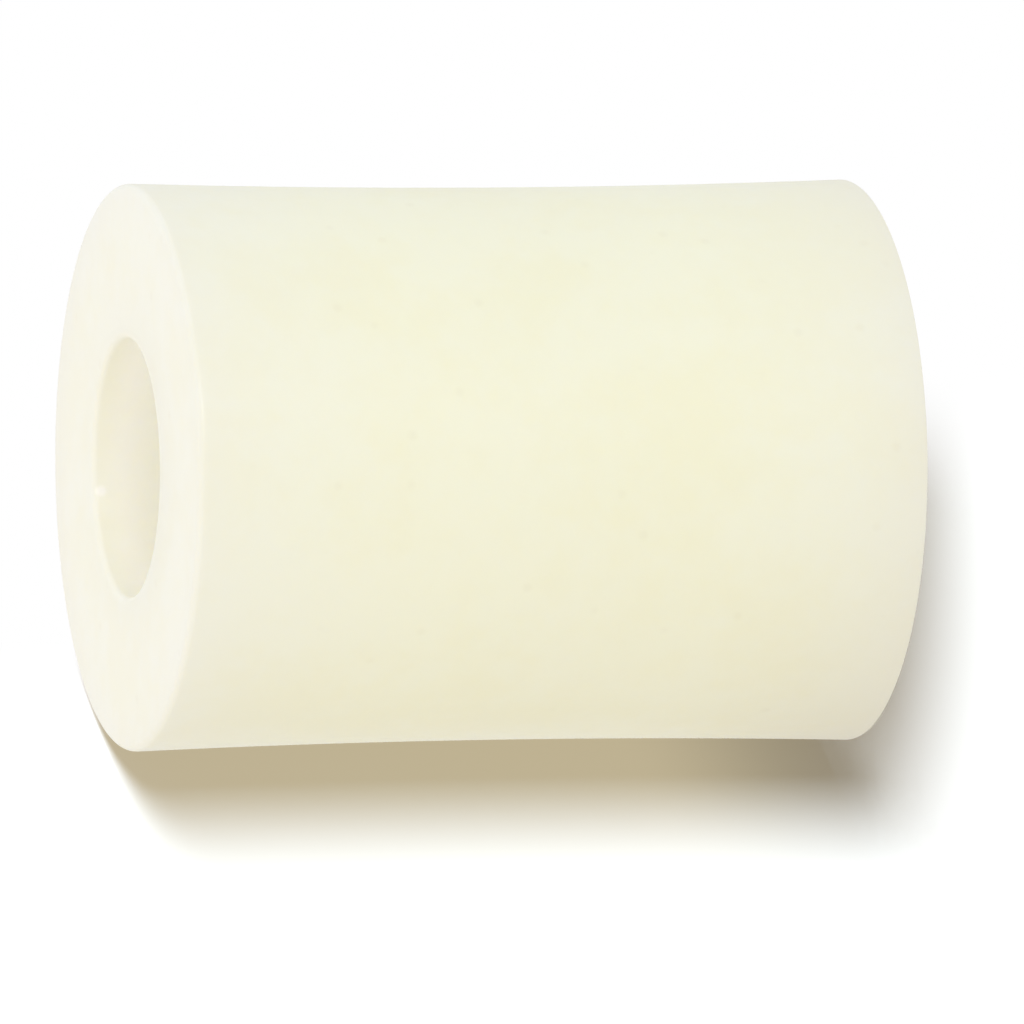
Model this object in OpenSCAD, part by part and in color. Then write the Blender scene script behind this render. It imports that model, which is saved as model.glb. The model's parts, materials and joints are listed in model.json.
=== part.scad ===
// Plain round spacer moulded in natural nylon: a thick-walled tube that stands on one end,
// with a straight clearance bore along Z and a side that has sunk in a little between its ends.
// Millimetres, with the origin at the middle of the lower end face.

/* [Body] */
// Outside diameter at the two ends, where the tube is widest
outer_d = 9.525; // [7:0.025:19]
// Distance between the two end faces
length = 12.7; // [6:0.1:50]
// How far the side has sunk in at mid-length, measured on the radius
side_sink = 0.1; // [0.02:0.01:0.3]

/* [Bore] */
// Diameter of the straight bore, a clearance hole for the screw
bore_d = 4.343; // [2.5:0.001:5]

/* [Edges] */
// Radius of the outer edge round each end face
rim_round = 0.12; // [0.04:0.01:0.4]
// Radius of the bore's edge at each end face
mouth_round = 0.1; // [0.04:0.01:0.4]

/* [Hidden] */
$fn = 180;

// Facets of the side's arc, whose circle is far larger than the part
side_facets = 3600;
// How far each cutting shape reaches past the surface that it cuts
overshoot = 0.5;

outer_r = outer_d / 2;
bore_r = bore_d / 2;
mid_z = length / 2;

// The side is one arc, tangent to both rim rounds and side_sink deep at mid-length
rim_z = mid_z - rim_round;
side_reach = (pow(rim_z, 2) + pow(side_sink, 2)) / (2 * side_sink);
side_r = side_reach - rim_round;
// Angle at which the side's arc runs into each rim round
rim_lean = asin(rim_z / side_reach);

// Draws its children at the upper end and mirrored at the lower end
module both_ends() {
    translate([0, mid_z]) {
        children();
        mirror([0, 1]) children();
    }
}

// Waste outside a quarter round of radius r about the origin, whose first side leans back by an angle
module round_waste(r, lean = 0) {
    reach = r + overshoot;
    difference() {
        polygon([[0, 0], reach * [cos(lean), -sin(lean)], [reach, reach], [0, reach]]);
        circle(r = r);
    }
}

// Half section of the wall, from the bore out to the sunk side
module wall_section() {
    difference() {
        translate([bore_r, 0])
            square([outer_r + overshoot - bore_r, length]);
        translate([outer_r - side_sink, mid_z])
            translate([side_r, 0])
                circle(r = side_r, $fn = side_facets);
        both_ends()
            translate([outer_r - rim_round, mid_z - rim_round])
                round_waste(rim_round, rim_lean);
        both_ends()
            translate([bore_r + mouth_round, mid_z - mouth_round])
                mirror([1, 0])
                    round_waste(mouth_round);
    }
}

module spacer() {
    color("ivory")
        rotate_extrude()
            wall_section();
}

spacer();
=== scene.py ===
# Plain round nylon spacer: one revolved surface with a natural nylon finish and painted shade and light,
# standing on a pale floor.
import json
import math

import bpy
import numpy as np
from mathutils import Matrix, Vector


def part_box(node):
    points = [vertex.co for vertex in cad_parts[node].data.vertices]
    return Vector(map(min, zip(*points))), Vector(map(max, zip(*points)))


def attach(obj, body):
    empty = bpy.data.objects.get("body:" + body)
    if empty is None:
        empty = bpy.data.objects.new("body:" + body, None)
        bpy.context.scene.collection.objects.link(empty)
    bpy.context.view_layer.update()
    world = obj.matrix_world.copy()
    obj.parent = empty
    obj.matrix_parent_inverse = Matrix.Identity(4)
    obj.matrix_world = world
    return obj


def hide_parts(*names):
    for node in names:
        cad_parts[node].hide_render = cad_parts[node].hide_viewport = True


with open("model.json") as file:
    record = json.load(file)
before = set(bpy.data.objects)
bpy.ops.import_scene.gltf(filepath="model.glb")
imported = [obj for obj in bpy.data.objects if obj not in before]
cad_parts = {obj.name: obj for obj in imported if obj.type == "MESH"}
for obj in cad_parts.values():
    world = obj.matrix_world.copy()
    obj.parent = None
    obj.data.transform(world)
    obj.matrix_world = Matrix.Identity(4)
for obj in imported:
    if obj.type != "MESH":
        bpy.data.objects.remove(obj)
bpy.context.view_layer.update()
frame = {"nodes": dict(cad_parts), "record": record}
mm = 0.001
white = (1, 1, 1, 1)
print("frame loaded:", ", ".join(sorted(frame["nodes"])))


class Socket:
    # An output socket of a node tree: arithmetic on it adds Math nodes, and add() makes any other node.

    def __init__(self, tree, output=None):
        self.tree = tree
        self.output = output

    def add(self, kind, settings=None, inputs=None, output=0):
        node = self.tree.nodes.new("ShaderNode" + kind)
        for name, value in (settings or {}).items():
            setattr(node, name, value)
        for name, value in (inputs or {}).items():
            if isinstance(value, Socket):
                self.tree.links.new(value.output, node.inputs[name])
            else:
                node.inputs[name].default_value = value
        return Socket(self.tree, node.outputs[output] if node.outputs else None)

    def calc(self, operation, *values):
        return self.add("Math", {"operation": operation}, dict(enumerate(values)))

    def measure(self, operation, *vectors):
        # A number from vectors: LENGTH, DISTANCE or DOT_PRODUCT
        return self.add("VectorMath", {"operation": operation}, dict(enumerate(vectors)), "Value")

    def blend(self, first, second):
        # Colour that goes from first to second as this socket goes from 0 to 1
        return self.add("Mix", {"data_type": "RGBA"}, {0: self, 6: first, 7: second}, 2)

    def tinted(self, tint):
        # This colour times another
        settings = {"data_type": "RGBA", "blend_type": "MULTIPLY"}
        return self.add("Mix", settings, {0: 1.0, 6: self, 7: tint}, 2)

    def ease(self, low, high):
        # 0 below low, 1 above high, smooth between them
        ends = {"Value": self, "From Min": low, "From Max": high}
        return self.add("MapRange", {"interpolation_type": "SMOOTHSTEP"}, ends)

    def __add__(self, other):
        return self.calc("ADD", self, other)

    __radd__ = __add__

    def __sub__(self, other):
        return self.calc("SUBTRACT", self, other)

    def __rsub__(self, other):
        return self.calc("SUBTRACT", other, self)

    def __mul__(self, other):
        return self.calc("MULTIPLY", self, other)

    __rmul__ = __mul__

    def __pow__(self, other):
        return self.calc("POWER", self, other)


def newMaterial(name):
    material = bpy.data.materials.new(name)
    material.use_nodes = True
    material.node_tree.nodes.clear()
    return material, Socket(material.node_tree)


# Spacer
spacerSize = {
    "sideSink": 0.10 * mm,      # how far the side has sunk in at mid-length
    "rimRound": 0.12 * mm,      # radius of the outer edge of each end
    "mouthRound": 0.10 * mm,    # radius of the bore's edge at each end
    "around": 360,              # grid steps round the axis
    "sideSteps": 96,
    "boreSteps": 64,
    "faceSteps": 20,
    "edgeSteps": 8,
}


def arcPoints(centre, radius, start, end, steps):
    # centre + radius * (cos a, sin a), for a from start to end
    angle = np.linspace(start, end, steps)
    return np.stack([centre[0] + radius * np.cos(angle), centre[1] + radius * np.sin(angle)], axis=1)


def linePoints(first, last, steps):
    # Evenly spaced points strictly between first and last
    share = np.linspace(0, 1, steps + 2)[1:-1, None]
    return np.array(first) * (1 - share) + np.array(last) * share


def wallProfile(outerR, boreR, length, size):
    # Closed loop of (r, z) round one wall section: side, lower end, bore, upper end.
    # The side is one arc that is tangent to both rim rounds and sideSink deep at mid-length.
    sink, rim, mouth = size["sideSink"], size["rimRound"], size["mouthRound"]
    half = length / 2
    rimZ = half - rim
    sideReach = (rimZ ** 2 + sink ** 2) / (2 * sink)
    lean = math.asin(rimZ / sideReach)
    sideR = sideReach - rim
    side = arcPoints((outerR - sink + sideR, half), sideR, math.pi - lean, math.pi + lean, size["sideSteps"])
    lowRim = arcPoints((outerR - rim, rim), rim, lean, -math.pi / 2, size["edgeSteps"])
    lowFace = linePoints((outerR - rim, 0), (boreR + mouth, 0), size["faceSteps"])
    lowMouth = arcPoints((boreR + mouth, mouth), mouth, -math.pi / 2, -math.pi, size["edgeSteps"])
    bore = linePoints((boreR, mouth), (boreR, length - mouth), size["boreSteps"])
    lowerHalf = np.concatenate([lowRim[1:], lowFace, lowMouth])
    upperHalf = lowerHalf[::-1] * (1, -1) + (0, length)
    return np.concatenate([side, lowerHalf, bore, upperHalf])


def revolvedMesh(name, profile, around):
    # Point (i, j) = (r_j cos t_i, r_j sin t_i, z_j); both grid directions close on themselves
    turn = np.linspace(0, 2 * np.pi, around, endpoint=False)
    radius, height = profile[:, 0], profile[:, 1]
    points = np.stack([np.outer(np.cos(turn), radius), np.outer(np.sin(turn), radius),
                       np.broadcast_to(height, (around, len(height)))], axis=2).reshape(-1, 3)
    index = np.arange(around * len(height)).reshape(around, len(height))
    nextTurn = np.roll(index, -1, axis=0)
    faces = np.stack([index, np.roll(index, -1, axis=1), np.roll(nextTurn, -1, axis=1), nextTurn], axis=2)
    mesh = bpy.data.meshes.new(name)
    mesh.from_pydata(points, [], faces.reshape(-1, 4))
    mesh.polygons.foreach_set("use_smooth", np.ones(len(mesh.polygons), dtype=bool))
    mesh.update()
    return mesh


nylonFinishAndPaintedLight = {
    "side": (0.880, 0.884, 0.702, 1),
    # painted shade: near each end the side is darker in red and green, against the light that the
    # translucent ends let through
    "nearEnd": (0.845, 0.854, 0.727, 1),
    "endReach": 4.5 * mm,       # how far from each end that painted shade goes
    "endFace": (0.859, 0.880, 0.800, 1),
    "endFade": (0.01 * mm, 0.12 * mm),      # depth over which the end's colour gives way to the side's
    "rimShade": (0.960, 0.960, 0.970, 1),    # painted shade: what the outer rims multiply the colour by, against the light that glows out at the rims
    "rimReach": 2.4 * mm,
    "rimFall": 3,               # power at which that falls away from the rim
    # painted light: the bore's colour is paler than the side's, to stand in for light that reaches inside
    # the bore
    "bore": (1.000, 1.000, 0.870, 1),
    "boreFade": (0.02 * mm, 0.20 * mm),     # the bore's paler, painted-light colour ends this far outside its wall
    "boreDepth": (-0.2 * mm, 0.7 * mm),     # and comes in over this depth below the end
    "cloud": {"Scale": 0.35, "Detail": 2.0, "Roughness": 0.5},      # noises, with scales per mm
    "mottle": {"Scale": 1.7, "Detail": 3.0, "Roughness": 0.55},
    "grain": {"Scale": 5.0, "Detail": 2.0, "Roughness": 0.65},
    "warmCloud": (0.994, 0.980, 0.936, 1),  # what the warmer clouds multiply the colour by
    "warmMottle": 0.35,         # share of the mottle in those clouds
    "warmRange": (0.38, 0.64),  # noise levels between which the warmth comes in
    "speck": (0.66, 0.61, 0.46, 1),
    "speckShare": 0.10,
    "speckScale": 1.1,          # cells per mm, each with one speck
    "speckRange": (0.03, 0.14),             # full and last radius of a speck, in cells
    "lipGlint": (1.000, 1.000, 0.940, 1),       # painted glint: one small pale spot on the upper lip of the bore, where the lamp's highlight falls
    "lipGlintPlace": (-0.39 * mm, 2.14 * mm, 12.56 * mm),
    "lipGlintRange": (0.039 * mm, 0.13 * mm),   # full and last radius of the painted glint
    "roughness": 0.25,          # of the smoothest spots
    "mottleRough": 0.10,        # what the mottle and the grain add to it
    "grainRough": 0.08,
    "bumpStrength": 0.2,
    "bumpDepth": 0.010 * mm,
    "ior": 1.53,
    "scatter": 0.35,            # share of the light that goes in and comes out elsewhere
    "boreScatter": 1.0,         # the same in the bore, where the thin wall lets the light through
    "scatterDepth": 8.0 * mm,
    "scatterColour": (1.0, 0.90, 0.65),
}


def nylonMaterial(length, outerR, boreR):
    # Off-white nylon: zones of colour with painted shade near the ends and rims and painted light in the
    # bore and on its lip, clouds over all of them, rare specks, satin grain, and light that goes in a little
    # way
    look = nylonFinishAndPaintedLight
    material, tree = newMaterial("naturalNylon")
    place = tree.add("TexCoord", output="Object")
    perMm = tree.add("VectorMath", {"operation": "SCALE"}, {0: place, "Scale": 1 / mm})
    cloud = tree.add("TexNoise", None, {"Vector": perMm, **look["cloud"]})
    mottle = tree.add("TexNoise", None, {"Vector": perMm, **look["mottle"]})
    grain = tree.add("TexNoise", None, {"Vector": perMm, **look["grain"]})
    flat = tree.add("VectorMath", {"operation": "MULTIPLY"}, {0: place, 1: (1, 1, 0)})
    fromAxis = tree.measure("LENGTH", flat)
    height = tree.add("SeparateXYZ", None, {0: place}, "Z")
    fromEnd = tree.calc("MINIMUM", height, length - height)
    fromRim = tree.calc("MAXIMUM", fromEnd, outerR - fromAxis)
    # painted shade: darker towards the outer rims, where light glows out of the translucent edges
    rimShadeMask = tree.calc("MAXIMUM", 1 - fromRim * (1 / look["rimReach"]), 0.0) ** look["rimFall"]
    atWall = 1 - fromAxis.ease(*(boreR + gap for gap in look["boreFade"]))
    inBore = atWall * fromEnd.ease(*look["boreDepth"])
    # painted shade: the side's colour darkens towards each end
    colour = fromEnd.ease(0, look["endReach"]).blend(look["nearEnd"], look["side"])
    colour = fromEnd.ease(*look["endFade"]).blend(look["endFace"], colour)
    # painted light: paler colour in the bore
    colour = inBore.blend(colour, look["bore"])
    # painted shade at the rims
    colour = colour.tinted(rimShadeMask.blend(white, look["rimShade"]))
    warmNoise = cloud * (1 - look["warmMottle"]) + mottle * look["warmMottle"]
    warmth = warmNoise.ease(*look["warmRange"])
    colour = colour.tinted(warmth.blend(white, look["warmCloud"]))
    speckCell = tree.add("TexVoronoi", None, {"Vector": perMm, "Scale": look["speckScale"]})
    speck = (1 - speckCell.ease(*look["speckRange"])) * (1 - inBore) * look["speckShare"]
    colour = speck.blend(colour, look["speck"])
    # painted glint on the bore's upper lip
    toLipGlint = tree.measure("DISTANCE", place, look["lipGlintPlace"])
    colour = toLipGlint.ease(*look["lipGlintRange"]).blend(look["lipGlint"], colour)
    roughness = mottle * look["mottleRough"] + grain * look["grainRough"] + look["roughness"]
    relief = {"Strength": look["bumpStrength"], "Distance": look["bumpDepth"], "Height": grain}
    bump = tree.add("Bump", None, relief)
    walls = [tree.add("BsdfPrincipled", None, {
        "Base Color": colour,
        "Roughness": roughness,
        "Normal": bump,
        "IOR": look["ior"],
        "Subsurface Weight": look[share],
        "Subsurface Radius": look["scatterColour"],
        "Subsurface Scale": look["scatterDepth"],
    }) for share in ("scatter", "boreScatter")]
    shader = tree.add("MixShader", None, {0: inBore, 1: walls[0], 2: walls[1]})
    tree.add("OutputMaterial", None, {"Surface": shader})
    return material


low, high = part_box("spacer")
boreMount = next(m for m in frame["record"]["mounts"] if m["name"] == "screw_bore")
outerR = high.x
boreR = boreMount["dims"]["r_mm"] * mm
length = high.z - low.z
profile = wallProfile(outerR, boreR, length, spacerSize)
spacer = bpy.data.objects.new("spacerSkin", revolvedMesh("spacerSkin", profile, spacerSize["around"]))
bpy.context.scene.collection.objects.link(spacer)
spacer.data.materials.append(nylonMaterial(length, outerR, boreR))
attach(spacer, "root")
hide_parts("spacer")
print("spacer made:", len(spacer.data.polygons), "faces")

# Camera, turned so that the spacer, which stands on its end, lies across the picture
cameraView = {
    "distance": 257 * mm,
    "lens": 535.0,
    "elevation": 16.2,
    "roll": 0.65,
    "aimRight": 0.393 * mm,      # the aim's place from the spacer's middle, across the picture
    "aimUp": -0.817 * mm,
    "clipStart": 10 * mm,
    "clipEnd": 5000 * mm,
}


def pictureAxes():
    # The picture's right, up and back directions; up is +X before the roll
    tilt = math.radians(cameraView["elevation"])
    back = Vector((0, -math.cos(tilt), math.sin(tilt)))
    up = Vector((1, 0, 0))
    turn = Matrix.Rotation(-math.radians(cameraView["roll"]), 3, back)
    return turn @ up.cross(back), turn @ up, back


middle = Vector((0, 0, length / 2))
right, up, back = pictureAxes()
aim = middle + right * cameraView["aimRight"] + up * cameraView["aimUp"]
camera = bpy.data.objects.new("camera", bpy.data.cameras.new("camera"))
bpy.context.scene.collection.objects.link(camera)
bpy.context.scene.camera = camera
camera.data.lens = cameraView["lens"]
camera.data.clip_start = cameraView["clipStart"]
camera.data.clip_end = cameraView["clipEnd"]
camera.location = middle + back * cameraView["distance"]
lookBack = (camera.location - aim).normalized()
lookRight = up.cross(lookBack).normalized()
lookUp = lookBack.cross(lookRight)
camera.rotation_euler = Matrix((lookRight, lookUp, lookBack)).transposed().to_euler()
print("camera placed")

# Stage: the floor, and a white card behind the spacer that takes the shadow below it in the picture
stageLook = {
    "floorHalf": 600 * mm,
    "floorLift": 0.10 * mm,     # the floor hides the gap under the lower rim's round
    "cardHalf": 80 * mm,
    "cardLean": 34.0,           # degrees of the card's normal from the picture's up towards the camera
    "cardGap": 0.02 * mm,
    "bounce": (0.84, 0.84, 0.83, 1),        # light the floor gives the spacer
    "shadedBounce": (0.62, 0.59, 0.54, 1),  # the same from the floor that the spacer shades
    "shadedMiddle": (-5 * mm, 0, 0),
    "shadedReach": 12 * mm,
    "boreBounce": (0.86, 0.86, 0.76, 1),    # the same inside the bore, whose lower end would be open
    "boreEdge": 0.5 * mm,
    "lampDistance": 300 * mm,           # of the two lamps that light the paper alone
    "lampLevel": 8.0,
    "cardLamp": (0.8, 47.5),            # degrees from the camera's direction: left and up in the picture
    "cardLampSize": (311 * mm, 108 * mm),
    "cardLampTurn": 0.0,
    "cardOpen": (1.42, 1.48, 1.51),         # how far the paper goes past white in open light
    "cardShade": (0.508, 0.437, 0.307),     # the deepest shade, as it shows
    "cardShadeEnds": (-4.7 * mm, -3.0 * mm),    # the shade fades out between these places along X
    "floorLamp": (0.122, 0.033, 1.0),   # direction from the spacer
    "floorLampSize": (46 * mm, 163 * mm),
    "floorLampTurn": -9.7,              # degrees about its own direction
    "floorOpen": (1.16, 1.188, 1.197),
    "floorShade": (0.320, 0.281, 0.219),
    "floorShadeEnds": (-1.0 * mm, 1.5 * mm),
    "footHeight": 3.7 * mm,             # the card takes the floor's shade towards its foot
    "footBlend": 3.0 * mm,              # the card goes on under the floor, which is clear this near to it
    "footAside": 1.0 * mm,              # that band's end, past the spacer's axis
    "shadeLight": 0.70,                 # light that still reaches the deepest shade
}


def quadObject(name, centre, across, along):
    # Corners: centre -/+ across -/+ along, in turn
    near, far = centre - along, centre + along
    corners = [near - across, near + across, far + across, far - across]
    mesh = bpy.data.meshes.new(name)
    mesh.from_pydata([tuple(c) for c in corners], [], [(0, 1, 2, 3)])
    mesh.update()
    quad = bpy.data.objects.new(name, mesh)
    bpy.context.scene.collection.objects.link(quad)
    return quad


def floorBounce(tree, place):
    # Less under the spacer's shaded side, and a level of its own inside the bore
    gap = tree.measure("DISTANCE", place, stageLook["shadedMiddle"])
    bounce = gap.ease(0, stageLook["shadedReach"]).blend(stageLook["shadedBounce"], stageLook["bounce"])
    fromAxis = tree.measure("LENGTH", place)
    return fromAxis.ease(boreR, boreR + stageLook["boreEdge"]).blend(stageLook["boreBounce"], bounce)


def creaseCover(tree, place):
    # 0 on the floor along the card, on the spacer's camera side, and 1 away from there;
    # between them a fine dither of both, so that no edge shows
    ahead = tree.measure("DOT_PRODUCT", place, cardNormal) + cardReach
    aside = tree.measure("DOT_PRODUCT", place, cardAcross)
    near = 1 - tree.calc("ABSOLUTE", ahead).ease(0, stageLook["footBlend"])
    cover = 1 - near * (1 - aside.ease(0, stageLook["footAside"]))
    dither = tree.add("TexWhiteNoise", {"noise_dimensions": "3D"}, {"Vector": place})
    return tree.calc("LESS_THAN", dither, cover)


def paperMaterial(paper, openLight):
    # To the eye: lit * light + glow, which is white in open light and the shade where the spacer blocks it.
    # It is see-through from behind, and gives other rays the floor's plain light.
    material, tree = newMaterial(paper + "Paper")
    place = tree.add("TexCoord", output="Object")
    aboveFoot = tree.add("SeparateXYZ", None, {0: place}, "Z").ease(0, stageLook["footHeight"])
    clearOf = tree.add("SeparateXYZ", None, {0: place}, "X").ease(*stageLook[paper + "ShadeEnds"])
    shades = np.array([stageLook["floorShade"], stageLook[paper + "Shade"]])
    litColours = (np.array(stageLook[paper + "Open"]) - shades) / (openLight - stageLook["shadeLight"])
    glowColours = shades - litColours * stageLook["shadeLight"]
    litColour = aboveFoot.blend(*((*colour, 1) for colour in litColours))
    glowColour = aboveFoot.blend(*((*colour, 1) for colour in glowColours))
    lit = tree.add("BsdfDiffuse", None, {"Color": litColour})
    glow = tree.add("Emission", None, {"Color": glowColour, "Strength": 1.0})
    shaded = tree.add("AddShader", None, {0: lit, 1: glow})
    blank = tree.add("Emission", None, {"Color": white})
    seen = tree.add("MixShader", None, {0: clearOf, 1: shaded, 2: blank})
    clear = tree.add("BsdfTransparent")
    if paper == "floor":
        seen = tree.add("MixShader", None, {0: creaseCover(tree, place), 1: clear, 2: seen})
    other = tree.add("Emission", None, {"Color": floorBounce(tree, place)})
    byEye = tree.add("LightPath", output="Is Camera Ray")
    front = tree.add("MixShader", None, {0: byEye, 1: other, 2: seen})
    fromBehind = tree.add("NewGeometry", output="Backfacing")
    whole = tree.add("MixShader", None, {0: fromBehind, 1: front, 2: clear})
    tree.add("OutputMaterial", None, {"Surface": whole})
    return material


lean = math.radians(stageLook["cardLean"])
cardNormal = Vector((math.cos(lean), -math.sin(lean), 0))
floorHalf = stageLook["floorHalf"]
floorMiddle = Vector((0, 0, stageLook["floorLift"]))
floor = quadObject("floor", floorMiddle, Vector((floorHalf, 0, 0)), Vector((0, floorHalf, 0)))
cardUp = Vector((0, 0, 1))
cardAcross = cardUp.cross(cardNormal)
cardReach = outerR + stageLook["cardGap"]
cardHalf = stageLook["cardHalf"]
card = quadObject("card", -cardNormal * cardReach, cardAcross * cardHalf, cardUp * cardHalf)
card.visible_diffuse = card.visible_glossy = card.visible_transmission = card.visible_shadow = False
print("stage set")

# Light: an even white surround and one soft box over the spacer
studioLight = {
    "worldLevel": 0.870,
    "overhead": 0.25,           # extra light of the surround straight overhead
    "lowTint": (1.08, 0.975, 0.82, 1),
    "highTint": (0.97, 0.98, 1.00, 1),
    "boxLevel": 0.14,
    "boxDistance": 300 * mm,
    "boxSize": (40 * mm, 40 * mm),
    "boxAbove": 24.0,           # degrees from the camera's direction, up and left in the picture
    "boxLeft": -8.0,
}


def whiteWorld():
    # Plain white to the eye and in reflections; its light is warmer from -X and stronger from overhead
    world = bpy.data.worlds.new("surround")
    bpy.context.scene.world = world
    world.use_nodes = True
    world.node_tree.nodes.clear()
    tree = Socket(world.node_tree)
    rayKinds = ("Is Camera Ray", "Is Glossy Ray", "Is Transmission Ray")
    rays = [tree.add("LightPath", output=kind) for kind in rayKinds]
    seen = tree.calc("MINIMUM", rays[0] + rays[1] + rays[2], 1.0)
    direction = tree.add("TexCoord", output="Generated")
    across = tree.add("SeparateXYZ", None, {0: direction}, "X")
    upward = tree.add("SeparateXYZ", None, {0: direction}, "Z")
    tint = across.ease(-1.0, 1.0).blend(studioLight["lowTint"], studioLight["highTint"])
    level = tree.calc("MAXIMUM", upward, 0.0) * studioLight["overhead"] + studioLight["worldLevel"]
    lighting = tree.add("Background", None, {"Color": tint, "Strength": level})
    blank = tree.add("Background", None, {"Color": white, "Strength": 1.0})
    whole = tree.add("MixShader", None, {0: seen, 1: lighting, 2: blank})
    tree.add("OutputWorld", None, {"Surface": whole})


def leaned(left, above):
    # The camera's direction from the spacer, leaned left and up in the picture by degrees
    return (back + up * math.tan(math.radians(above)) - right * math.tan(math.radians(left))).normalized()


def softBox(name, direction, distance, size, level, turn=0.0):
    # Power at which a white surface that faces the box renders at the level given;
    # its size is up the picture, then across
    lamp = bpy.data.lights.new(name, "AREA")
    lamp.shape = "ELLIPSE"
    lamp.size, lamp.size_y = size
    lamp.energy = level * (math.pi * distance) ** 2
    box = bpy.data.objects.new(name, lamp)
    bpy.context.scene.collection.objects.link(box)
    box.location = middle + direction * distance
    along = direction.cross(up).normalized()
    facing = Matrix((along.cross(direction), along, direction)).transposed()
    box.rotation_euler = (facing @ Matrix.Rotation(math.radians(turn), 3, "Z")).to_euler()
    return box


def lightPaper(paper, direction, normal):
    # A soft box that lights this sheet alone; what open paper gets of all the lights sets its finish
    direction = direction.normalized()
    level = stageLook["lampLevel"]
    name = paper.name + "Lamp"
    size, turn = stageLook[name + "Size"], stageLook[name + "Turn"]
    lamp = softBox(name, direction, stageLook["lampDistance"], size, level, turn)
    lamp.light_linking.receiver_collection = bpy.data.collections.new(name + "Paper")
    lamp.light_linking.receiver_collection.objects.link(paper)
    boxShare = studioLight["boxLevel"] * max(boxDirection.dot(normal), 0)
    openLight = studioLight["worldLevel"] + boxShare + level * direction.dot(normal)
    paper.data.materials.append(paperMaterial(paper.name, openLight))


whiteWorld()
boxDirection = leaned(studioLight["boxLeft"], studioLight["boxAbove"])
softBox("softBox", boxDirection, studioLight["boxDistance"], studioLight["boxSize"], studioLight["boxLevel"])
lightPaper(card, leaned(*stageLook["cardLamp"]), cardNormal)
lightPaper(floor, Vector(stageLook["floorLamp"]), Vector((0, 0, 1)))
bpy.context.scene.view_settings.view_transform = "Standard"
print("lights placed")
